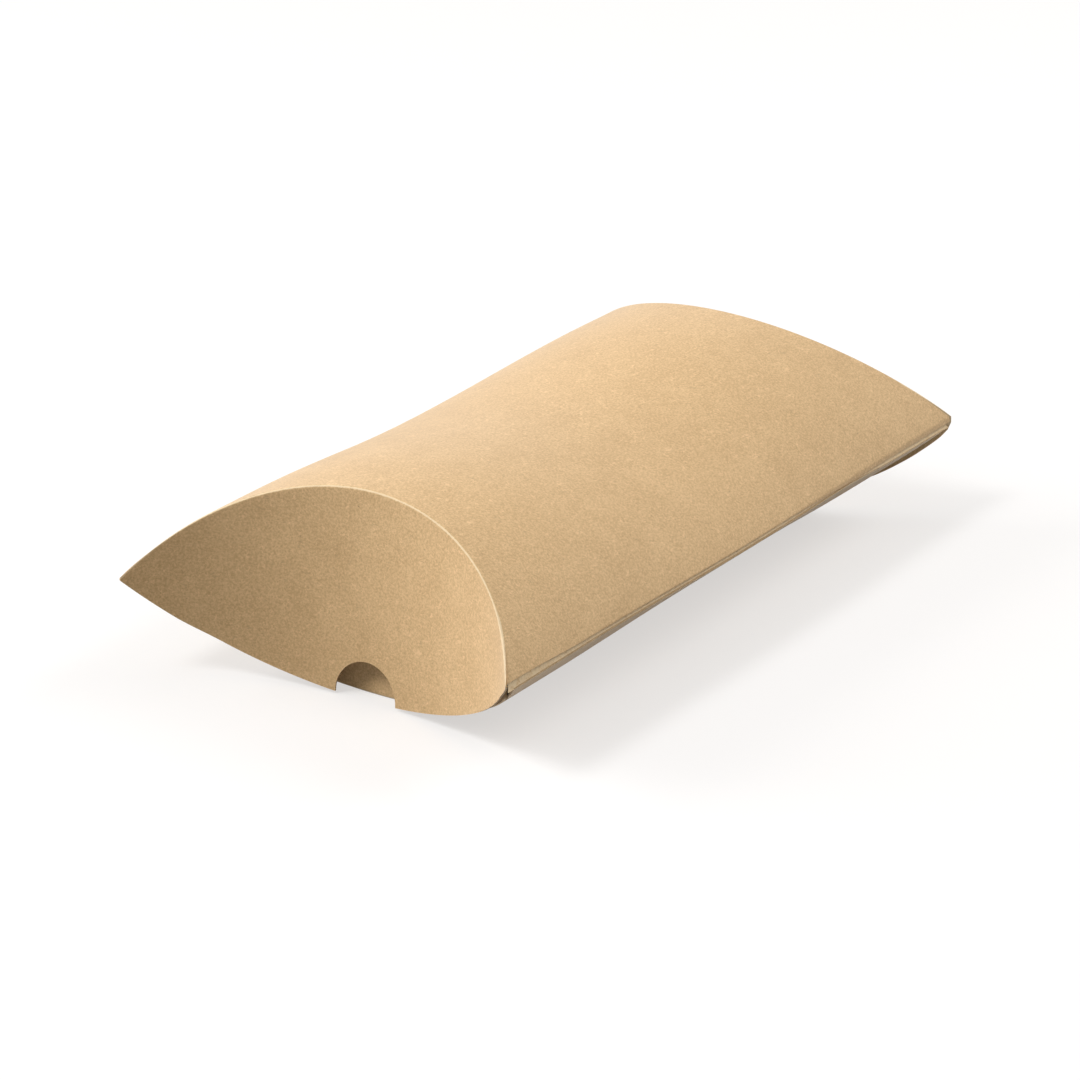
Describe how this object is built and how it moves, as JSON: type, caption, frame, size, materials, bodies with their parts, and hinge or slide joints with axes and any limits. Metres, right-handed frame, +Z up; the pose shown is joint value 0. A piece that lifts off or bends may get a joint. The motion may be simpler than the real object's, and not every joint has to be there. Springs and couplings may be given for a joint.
{
  "type": "pillow box",
  "caption": "Closed kraft card pillow box: bulged panels, straight side folds, scooped ends with thumb-notched outer flaps over tuck flaps.",
  "frame": {"origin": "on the table plane under the middle of the box, midway between its side folds and its ends", "axes": "+X across the width towards the glued seam, +Y along the length towards the rear end, +Z up"},
  "size_m": [0.112, 0.205, 0.0519],
  "materials": {
    "kraft_board": "uncoated, matte",
    "pressed_crease": "uncoated, matte",
    "adhesive": "matte"
  },
  "bodies": {
    "sleeve": {"top_panel": "kraft_board", "bottom_panel": "kraft_board", "left_side_crease": "pressed_crease", "seam_side_crease": "pressed_crease", "glue_tab": "kraft_board", "glue_line": "adhesive", "front_outer_crease": "pressed_crease", "front_inner_crease": "pressed_crease", "rear_outer_crease": "pressed_crease", "rear_inner_crease": "pressed_crease"},
    "front_outer_flap": {"front_outer_flap": "kraft_board"},
    "front_inner_flap": {"front_inner_flap": "kraft_board"},
    "rear_outer_flap": {"rear_outer_flap": "kraft_board"},
    "rear_inner_flap": {"rear_inner_flap": "kraft_board"}
  },
  "joints": [
    {"name": "front_outer_fold", "type": "hinge", "parent": "sleeve", "child": "front_outer_flap", "pos_m": [0, -0.0765, 0.05145], "axis": [-1, 0, 0], "range_deg": [0, 95]},
    {"name": "front_inner_fold", "type": "hinge", "parent": "sleeve", "child": "front_inner_flap", "pos_m": [0, -0.07552, 0.00065], "axis": [-1, 0, 0], "range_deg": [0, 80]},
    {"name": "rear_outer_fold", "type": "hinge", "parent": "sleeve", "child": "rear_outer_flap", "pos_m": [0, 0.0765, 0.05145], "axis": [1, 0, 0], "range_deg": [0, 95]},
    {"name": "rear_inner_fold", "type": "hinge", "parent": "sleeve", "child": "rear_inner_flap", "pos_m": [0, 0.07552, 0.00065], "axis": [1, 0, 0], "range_deg": [0, 80]}
  ]
}
